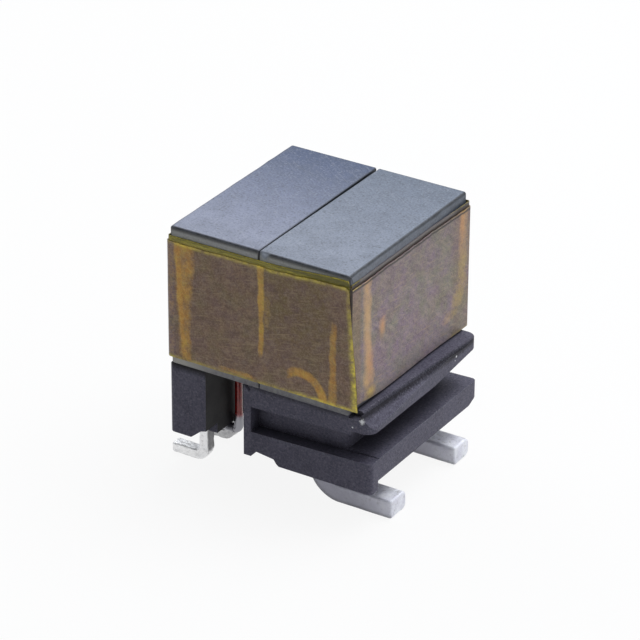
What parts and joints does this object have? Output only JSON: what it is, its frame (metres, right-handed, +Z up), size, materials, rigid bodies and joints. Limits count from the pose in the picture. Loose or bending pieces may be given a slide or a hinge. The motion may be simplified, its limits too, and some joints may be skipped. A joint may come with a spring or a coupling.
{
  "type": "current sense transformer",
  "caption": "Surface-mount current sense transformer: taped ferrite core on a black coil former, heavy primary feet at one end and fine secondary terminals at the other.",
  "frame": {"origin": "middle of the bounding box on the board plane, under the solder feet", "axes": "+Z up from the board, +X along the core from the fine terminals to the heavy feet, +Y along the terminal rows"},
  "size_m": [0.013, 0.0116, 0.0139],
  "materials": {
    "ferrite": "ground, matte",
    "former": "moulded, satin",
    "tinned_bar": "tinned copper",
    "enamel": "enamelled wire",
    "band": "insulating film",
    "tinned_pin": "solder dipped",
    "solder": "soldered",
    "film": "polyimide film"
  },
  "bodies": {
    "root": {"core_half_left": "ferrite", "core_half_right": "ferrite", "coil_former": "former", "primary_turn": "tinned_bar", "secondary_winding": "enamel", "winding_tape": "band", "pin_1": "tinned_pin", "pin_2": "tinned_pin", "pin_3": "tinned_pin", "pin_4": "tinned_pin", "solder_start": "solder", "solder_finish": "solder", "core_tape": "film"}
  },
  "joints": []
}
